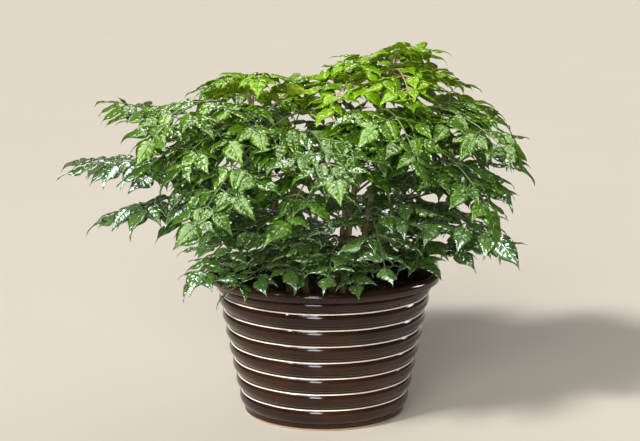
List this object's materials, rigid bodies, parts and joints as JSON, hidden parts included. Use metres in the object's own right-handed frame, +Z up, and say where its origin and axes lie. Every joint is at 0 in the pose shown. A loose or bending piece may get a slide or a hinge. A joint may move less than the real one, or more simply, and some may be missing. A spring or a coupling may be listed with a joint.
{
  "type": "potted china doll plant",
  "caption": "Bushy house plant with tiers of compound fronds of pointed leaflets on slim stems, in soil in a tapered, ribbed, dark brown glazed round pot with thin cream lines",
  "frame": {"origin": "the centre of the pot's flat underside", "axes": "+Z up, +X to the picture's right along the plant's widest spread, +Y away from the picture's camera"},
  "size_m": [0.6195, 0.6117, 0.4742],
  "materials": {
    "glaze": "gloss",
    "soil": "matte",
    "bark": "matte",
    "leaf_old": "gloss",
    "leaf_mid": "gloss",
    "leaf_new": "gloss"
  },
  "bodies": {
    "root": {"frond_01": "leaf_old", "frond_02": "leaf_old", "frond_03": "leaf_old", "frond_04": "leaf_old", "frond_05": "leaf_old", "frond_06": "leaf_old", "frond_07": "leaf_old", "frond_08": "leaf_old", "frond_09": "leaf_old", "frond_10": "leaf_old", "frond_11": "leaf_old", "frond_12": "leaf_old", "frond_13": "leaf_old", "frond_14": "leaf_old", "frond_15": "leaf_old", "frond_16": "leaf_old", "frond_17": "leaf_old", "frond_18": "leaf_old", "frond_19": "leaf_mid", "frond_20": "leaf_mid", "frond_21": "leaf_mid", "frond_22": "leaf_mid", "frond_23": "leaf_mid", "frond_24": "leaf_mid", "frond_25": "leaf_mid", "frond_26": "leaf_mid", "frond_27": "leaf_mid", "frond_28": "leaf_mid", "frond_29": "leaf_mid", "frond_30": "leaf_mid", "frond_31": "leaf_new", "frond_32": "leaf_new", "frond_33": "leaf_new", "frond_34": "leaf_new", "frond_35": "leaf_new", "frond_36": "leaf_new", "frond_37": "leaf_new", "frond_38": "leaf_new", "frond_39": "leaf_new", "frond_40": "leaf_mid", "frond_41": "leaf_old", "frond_42": "leaf_mid", "frond_43": "leaf_mid", "frond_44": "leaf_mid", "frond_45": "leaf_mid", "frond_46": "leaf_old", "frond_47": "leaf_old", "frond_48": "leaf_old", "frond_49": "leaf_new", "pot": "glaze", "soil": "soil", "stem_back_left": "bark", "stem_back_right": "bark", "stem_centre": "bark", "stem_front_left": "bark", "stem_front_right": "bark", "stem_left": "bark", "stem_right": "bark"}
  },
  "joints": []
}
